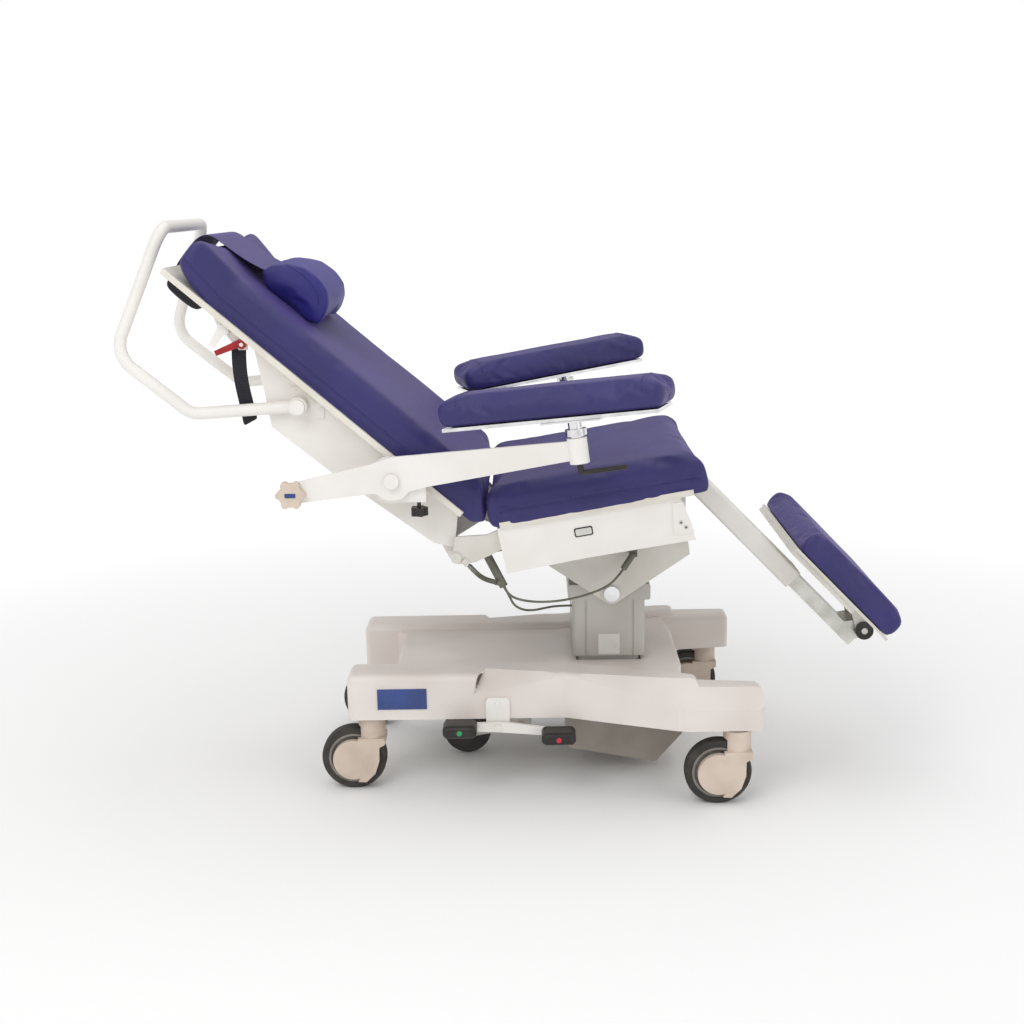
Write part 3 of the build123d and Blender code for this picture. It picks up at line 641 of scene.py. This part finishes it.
# head flap, its counterweight pouch and the hanging webbing
def ribbon(name, centreLine, width, thick, finish):
    # a band of cloth along a line given in the back's frame, with thickness and rounded edges
    mesh = bpy.data.meshes.new(name)
    bm = bmesh.new()
    across = 12
    rows = []
    for along, above in centreLine:
        row = [backPoint(along, width[0] + (width[1] - width[0]) * k / across, above) for k in range(across + 1)]
        rows.append([bm.verts.new(at) for at in row])
    for a, b in zip(rows, rows[1:]):
        for k in range(across):
            bm.faces.new((a[k], a[k + 1], b[k + 1], b[k]))
    bmesh.ops.recalc_face_normals(bm, faces=bm.faces)
    bm.to_mesh(mesh)
    bm.free()
    band = meshObject(name, mesh, finish)
    for polygon in band.data.polygons:
        polygon.use_smooth = True
    shell = band.modifiers.new("thickness", "SOLIDIFY")
    shell.thickness = thick * mm
    shell.offset = 0
    divide = band.modifiers.new("fine", "SUBSURF")
    divide.levels = divide.render_levels = 2
    bakeModifiers(band)
    return band


flapStyle = {
    "line": [(652, 104), (670, 99), (700, 93), (735, 90), (770, 89), (790, 86), (803, 72), (806, 50), (806, 20),
             (804, -10), (798, -30)],
    "width": (-138, 138),
    "thick": 2.4,
}


def makeFlap(s):
    flap = ribbon("head_flap", s["line"], s["width"], s["thick"], "coatedVinylIndigo")
    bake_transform(flap)


pouchStyle = {"box": (-806, -716, -112, 112, -58, -16)}


def makePouch(s):
    bm = bevelledBlock({"box": s["box"], "round": 12})
    mesh = bpy.data.meshes.new("weight_pouch")
    bm.to_mesh(mesh)
    bm.free()
    pouch = meshObject("weight_pouch", mesh, "wovenNylonBlack")
    voxelSkin(pouch, 6)
    low = s["box"][4]
    for vertex in pouch.data.vertices:  # it sags between its ends
        at = vertex.co / mm
        bow = 1 - ((at.x + 761) / 45) ** 2 * 0.5
        vertex.co.z -= 8 * mm * bow * (1 - (at.z - low) / 42)
    pouch.data.transform(backFrame)
    for polygon in pouch.data.polygons:
        polygon.use_smooth = True
    dress(pouch, "wovenNylonBlack")
    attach(pouch, "back")
    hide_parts("head_straps")


webbingStyle = {
    # X and Z of the hanging strap's middle, in the chair's own millimetres
    "line": [(-546, 991), (-548, 975), (-550, 950), (-550, 920), (-547, 888), (-541, 856), (-536, 828), (-534, 812)],
    "width": 30,
    "thick": 1.6,
    "y": -243,
}


def makeWebbing(s):
    mesh = bpy.data.meshes.new("hanging_webbing")
    bm = bmesh.new()
    half = s["width"] / 2
    rows = []
    last = len(s["line"]) - 1
    for i, (x, z) in enumerate(s["line"]):
        slant = 8 if i == last else 0
        wave = 1.2 * sin(i * 1.3)
        row = [designPoint(x + half * k, s["y"] + wave * k, z + slant * k) for k in (-1, -0.5, 0, 0.5, 1)]
        rows.append([bm.verts.new(at) for at in row])
    for a, b in zip(rows, rows[1:]):
        for k in range(4):
            bm.faces.new((a[k], a[k + 1], b[k + 1], b[k]))
    bmesh.ops.recalc_face_normals(bm, faces=bm.faces)
    bm.to_mesh(mesh)
    bm.free()
    strap = meshObject("hanging_webbing", mesh, "wovenNylonBlack")
    shell = strap.modifiers.new("thickness", "SOLIDIFY")
    shell.thickness = s["thick"] * mm
    shell.offset = 0
    divide = strap.modifiers.new("fine", "SUBSURF")
    divide.levels = divide.render_levels = 2
    bakeModifiers(strap)
    for polygon in strap.data.polygons:
        polygon.use_smooth = True
    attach(strap, "back")


makeFlap(flapStyle)
makePouch(pouchStyle)
makeWebbing(webbingStyle)
print("cushions and straps made")


# small things: screws and stitches repeat by node trees, the rest is mesh
def treeWith(name, inputs):
    tree = bpy.data.node_groups.new(name, "GeometryNodeTree")
    tree.interface.new_socket("Geometry", in_out="INPUT", socket_type="NodeSocketGeometry")
    keys = {}
    for label, kind in inputs:
        keys[label] = tree.interface.new_socket(label, in_out="INPUT", socket_type=kind).identifier
    tree.interface.new_socket("Geometry", in_out="OUTPUT", socket_type="NodeSocketGeometry")
    return tree, keys, tree.nodes.new("NodeGroupInput").outputs, tree.nodes.new("NodeGroupOutput").inputs


def finishInto(tree, geometry, material, result):
    solid = addNode(tree, "GeometryNodeRealizeInstances", {"Geometry": geometry})
    dressed = addNode(tree, "GeometryNodeSetMaterial", {"Geometry": solid.outputs[0], "Material": material})
    tree.links.new(dressed.outputs[0], result)


def stitchTree():
    # a row of short threads along the edges of a line
    tree, keys, given, result = treeWith("stitches", [("Spacing", "NodeSocketFloat"), ("Thickness", "NodeSocketFloat"),
                                                      ("Reach", "NodeSocketFloat"), ("Thread", "NodeSocketMaterial")])
    line = addNode(tree, "GeometryNodeMeshToCurve", {"Mesh": given["Geometry"]}).outputs[0]
    row = addNode(tree, "GeometryNodeCurveToPoints", {"Curve": line, "Length": given["Spacing"]}, mode="LENGTH")
    thread = addNode(tree, "GeometryNodeMeshIcoSphere", {"Radius": given["Thickness"], "Subdivisions": 2}).outputs[0]
    scale = addNode(tree, "ShaderNodeCombineXYZ", {"X": 1.0, "Y": 1.0, "Z": given["Reach"]}).outputs[0]
    inputs = {"Points": row.outputs["Points"], "Instance": thread, "Rotation": row.outputs["Rotation"], "Scale": scale}
    placed = addNode(tree, "GeometryNodeInstanceOnPoints", inputs).outputs[0]
    finishInto(tree, placed, given["Thread"], result[0])
    return tree, keys


def screwTree():
    # round heads with a hexagon recess, each facing along its point's aim; the recess is a dark hexagon standing in the
    # head, painted shade for the hollow
    tree, keys, given, result = treeWith("screws", [("Radius", "NodeSocketFloat"), ("Height", "NodeSocketFloat"),
                                                    ("Plating", "NodeSocketMaterial"), ("PaintedShade", "NodeSocketMaterial")])
    head = addNode(tree, "GeometryNodeMeshCylinder",
                   {"Vertices": 28, "Radius": given["Radius"], "Depth": given["Height"]}).outputs[0]
    crown = addNode(tree, "GeometryNodeSetMaterial", {"Geometry": head, "Material": given["Plating"]}).outputs[0]
    narrow = addNode(tree, "ShaderNodeMath", {0: given["Radius"], 1: 0.5}, operation="MULTIPLY").outputs[0]
    deep = addNode(tree, "ShaderNodeMath", {0: given["Height"], 1: 1.06}, operation="MULTIPLY").outputs[0]
    # the recess is not cut: a hexagon in the shade material fills it, painted shade
    recess = addNode(tree, "GeometryNodeMeshCylinder", {"Vertices": 6, "Radius": narrow, "Depth": deep}).outputs[0]
    paintedRecess = addNode(tree, "GeometryNodeSetMaterial", {"Geometry": recess, "Material": given["PaintedShade"]}).outputs[0]
    both = tree.nodes.new("GeometryNodeJoinGeometry")
    tree.links.new(crown, both.inputs[0])
    tree.links.new(paintedRecess, both.inputs[0])
    aim = addNode(tree, "GeometryNodeInputNamedAttribute", {"Name": "aim"}, data_type="FLOAT_VECTOR")
    turn = addNode(tree, "FunctionNodeAlignRotationToVector", {"Vector": aim.outputs["Attribute"]}, axis="Z").outputs[0]
    inputs = {"Points": given["Geometry"], "Instance": both.outputs[0], "Rotation": turn}
    placed = addNode(tree, "GeometryNodeInstanceOnPoints", inputs).outputs[0]
    solid = addNode(tree, "GeometryNodeRealizeInstances", {"Geometry": placed})
    tree.links.new(solid.outputs[0], result[0])
    return tree, keys


def repeated(name, points, edges, made, values, aims=()):
    mesh = bpy.data.meshes.new(name)
    mesh.from_pydata([tuple(at) for at in points], edges, [])
    if aims:
        aim = mesh.attributes.new("aim", "FLOAT_VECTOR", "POINT")
        for k, direction in enumerate(aims):
            aim.data[k].vector = direction
    piece = bpy.data.objects.new(name, mesh)
    bpy.context.scene.collection.objects.link(piece)
    tree, keys = made
    grow = piece.modifiers.new("grow", "NODES")
    grow.node_group = tree
    for label, value in values.items():
        grow[keys[label]] = value
    bakeModifiers(piece)
    return piece


def hitLine(piece, starts, toward, lift):
    # where a row of rays first meets a cushion, lifted a little off its skin
    bpy.context.view_layer.update()
    found = []
    for start in starts:
        hit, at, facing, _ = piece.ray_cast(start, toward)
        if hit:
            found.append(at + facing * lift * mm)
    return found


def makeSeam(name, s):
    # a sewn seam: a thin piping along the cushion with a row of stitches beside it
    pad = pads[s["pad"]]
    toward = s["frame"].to_3x3() @ Vector(s["toward"])
    starts = [s["frame"] @ (Vector(at) * mm) for at in s["starts"]]
    points = hitLine(pad, starts, toward, 0.2)
    if len(points) < 4:
        print("seam", name, "met nothing")
        return
    points = evenly(points, 2 * len(points))
    piping = meshObject(name + "_piping", tubeMesh(name + "_piping", points, s.get("radius", 1.3) * mm, 8), s["finish"])
    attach(piping, s["body"])
    shifted = [s["frame"] @ (Vector(at) * mm + Vector(s["beside"]) * mm) for at in s["starts"]]
    row = hitLine(pad, shifted, toward, 0.1)
    links = [(k, k + 1) for k in range(len(row) - 1)]
    thread = repeated(name + "_stitches", row, links, stitches, {**stitchSize, "Thread": finishes["threadIndigo"]})
    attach(thread, s["body"])


def steps(low, high, count):
    return [low + (high - low) * k / (count - 1) for k in range(count)]


# spacing and thickness in metres, and how many times longer than thick a stitch is
stitchSize = {"Spacing": 0.0075, "Thickness": 0.0007, "Reach": 3.4}
stitches = stitchTree()
screws = screwTree()
threadLook = dict(colour="#4A4585", deep="#3C376F", rough=0.6, cloud=8, grain=1.0, bump=0.05)
finishes["threadIndigo"] = hardFinish("threadIndigo", threadLook)

seams = {
    "back_seam_near": dict(pad="back_pad", body="back", frame=backFrame, toward=(0, 1, 0), beside=(0, 0, 7),
                           starts=[(-x, -340, 24 if x < 675 else 24 + (x - 675) * 0.165) for x in steps(120, 778, 60)],
                           finish="coatedVinylIndigo"),
    "back_seam_far": dict(pad="back_pad", body="back", frame=backFrame, toward=(0, -1, 0), beside=(0, 0, 7),
                          starts=[(-x, 340, 24 if x < 675 else 24 + (x - 675) * 0.165) for x in steps(120, 778, 60)],
                          finish="coatedVinylIndigo"),
    "seat_seam_near": dict(pad="seat_pad", body="seat", frame=seatFrame, toward=(0, 1, 0), beside=(0, 0, 7),
                           starts=[(x, -340, 20) for x in steps(-28, 380, 40)], finish="coatedVinylIndigo"),
    "seat_seam_far": dict(pad="seat_pad", body="seat", frame=seatFrame, toward=(0, -1, 0), beside=(0, 0, 7),
                          starts=[(x, 340, 20) for x in steps(-28, 380, 40)], finish="coatedVinylIndigo"),
    "roll_seam_near": dict(pad="head_roll", body="head_roll", frame=backFrame, toward=(-0.12, 1, 0), beside=(6, 0, -5),
                           starts=[(-585 + 62 * cos(t), -200, 116 + 30 * sin(t)) for t in steps(0.2, 2.94, 30)],
                           radius=1.0, finish="coatedVinylBlue"),
}
for name, side in sides.items():
    middle = -side * 30
    for end, x in (("head", -232), ("hand", 146)):
        seams["arm_seam_" + name + "_" + end] = dict(
            pad="arm_" + name, body="rest_" + name, frame=armFrames[name], toward=(0, 0, -1), beside=(6, 0, 0),
            starts=[(x, middle + y, 200) for y in steps(-56, 56, 24)], radius=1.0, finish="coatedVinylIndigo")
for name, s in seams.items():
    makeSeam(name, s)


def makeScrews(name, body, places, aims, radius, height, plating="zincPlate"):
    points = [designPoint(*at) for at in places]
    # the recess hexagons take black nylon as painted shade
    piece = repeated(name, points, [], screws, {"Radius": radius * mm, "Height": height * mm,
                     "Plating": finishes[plating], "PaintedShade": finishes["mouldedNylonBlack"]}, aims)
    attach(piece, body)


coverScrews = [(336, -277.6, 597), (346, -277.6, 587), (336, 277.6, 597), (346, 277.6, 587)]
makeScrews("cover_screws", "seat", coverScrews, [(0, -1, 0), (0, -1, 0), (0, 1, 0), (0, 1, 0)], 4.2, 2.6)


def plateMesh(name, at, across, rise, width, height, thick, corner, finish, body):
    # a small rounded plate standing out from a face
    bm = bmesh.new()
    bmesh.ops.create_cube(bm, size=1)
    across, rise = Vector(across).normalized(), Vector(rise).normalized()
    out = across.cross(rise)
    centre = designPoint(*at)
    upright = [edge for edge in bm.edges if abs((edge.verts[0].co - edge.verts[1].co).z) > 0.5]
    for vert in bm.verts:
        vert.co = Vector((vert.co.x * width, vert.co.y * height, vert.co.z * thick)) * mm
    bmesh.ops.bevel(bm, geom=upright, offset=corner * mm, segments=6, profile=0.5, affect="EDGES")
    rims = [edge for edge in bm.edges if all(vert.co.z > thick * 0.49 * mm for vert in edge.verts)]
    bmesh.ops.bevel(bm, geom=rims, offset=thick * 0.3 * mm, segments=2, profile=0.5, affect="EDGES")
    for vert in bm.verts:
        vert.co = centre + across * vert.co.x + rise * vert.co.y + out * vert.co.z
    mesh = bpy.data.meshes.new(name)
    bmesh.ops.recalc_face_normals(bm, faces=bm.faces)
    bm.to_mesh(mesh)
    bm.free()
    plate = meshObject(name, mesh, finish)
    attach(plate, body)
    return plate


plates = {
    # place, across, rise, width, height, thickness, corner radius, finish and body
    "cover_insert_near": ((138, -275.6, 581), (1, 0, 0.158), (-0.158, 0, 1), 38, 19, 1.6, 4,
                          "mouldedNylonBlack", "seat"),
    "cover_insert_near_face": ((138, -276.0, 581), (1, 0, 0.158), (-0.158, 0, 1), 33, 14, 1.8, 3, "blankFilm", "seat"),
    "cover_insert_far": ((138, 275.6, 581), (-1, 0, -0.158), (-0.158, 0, 1), 38, 19, 1.6, 4,
                         "mouldedNylonBlack", "seat"),
    "cover_insert_far_face": ((138, 276.0, 581), (-1, 0, -0.158), (-0.158, 0, 1), 33, 14, 1.8, 3, "blankFilm", "seat"),
    "blank_label": ((197.5, -110.3, 288.5), (1, 0, 0), (0, 0, 1), 47, 46, 0.9, 3, "blankFilm", "lift"),
    "knob_badge": ((-446, -337.6, 678), (1, 0, 0), (0, 0, 1), 22, 9, 1.2, 2, "acrylicBlue", "tail_near"),
    "pedal_dot_left": ((-126, -292.2, 155), (1, 0, 0), (0, 0, 1), 11, 11, 1.6, 5.2, "pedalGreen", "pedals"),
    "pedal_dot_right": ((82, -292.2, 137), (1, 0, 0), (0, 0, 1), 11, 11, 1.6, 5.2, "pedalRed", "pedals"),
}
for name, values in plates.items():
    plateMesh(name, *values)
print("small things made")


# floor and light
studio = {"half": 30, "rough": 0.85, "from": 0.9, "to": 2.6, "seen": 1.0, "lighting": 0.6}


def makeFloor(half):
    mesh = bpy.data.meshes.new("floor")
    mesh.from_pydata([(-half, -half, 0), (half, -half, 0), (half, half, 0), (-half, half, 0)], [], [(0, 1, 2, 3)])
    meshObject("floor", mesh, "studioFloor")


def studioFinish(name, s):
    # white floor that takes shadows near the object and turns to plain light further out, so no horizon shows
    material, tree, shader = startMaterial(name, s["rough"])
    coords = objectCoords(tree)
    reach = addNode(tree, "ShaderNodeVectorMath", {0: coords}, operation="LENGTH").outputs["Value"]
    away = spread(tree, reach, s["from"], s["to"], 0.0, 1.0)
    tree.links.new(blendColours(tree, away, srgb("#FFFFFF"), srgb("#000000")), shader.inputs["Base Color"])
    shader.inputs["Emission Color"].default_value = srgb("#FFFFFF")
    tree.links.new(away, shader.inputs["Emission Strength"])
    return material


finishes["studioFloor"] = studioFinish("studioFloor", studio)
makeFloor(studio["half"])


def makeLight(name, location, size, power):
    data = bpy.data.lights.new(name, "AREA")
    data.shape = "SQUARE"
    data.size = size
    data.energy = power
    lamp = bpy.data.objects.new(name, data)
    direction = Vector(lightAim) - Vector(location)
    lamp.matrix_world = Matrix.Translation(location) @ direction.to_track_quat("-Z", "Y").to_matrix().to_4x4()
    bpy.context.scene.collection.objects.link(lamp)


lightAim = (0, 0, 0.6)
makeLight("keyLight", (-1.4, -2.8, 3.2), 2.2, 42)
makeLight("fillLight", (2.8, -2.2, 2.0), 2.6, 16)
makeLight("topLight", (0, 0.4, 3.8), 3.0, 30)


def makeWorld(seen, lighting):
    # a white backdrop that lights the object less than it shows
    world = bpy.data.worlds.new("studio")
    world.use_nodes = True
    tree = world.node_tree
    tree.nodes.clear()
    rays = addNode(tree, "ShaderNodeLightPath").outputs["Is Camera Ray"]
    strength = spread(tree, rays, 0.0, 1.0, lighting, seen)
    lamp = addNode(tree, "ShaderNodeBackground", {"Color": srgb("#FFFFFF"), "Strength": strength})
    addNode(tree, "ShaderNodeOutputWorld", {"Surface": lamp.outputs["Background"]})
    bpy.context.scene.world = world


makeWorld(studio["seen"], studio["lighting"])
print("floor and light made")
bpy.context.scene.view_settings.view_transform = "Standard"
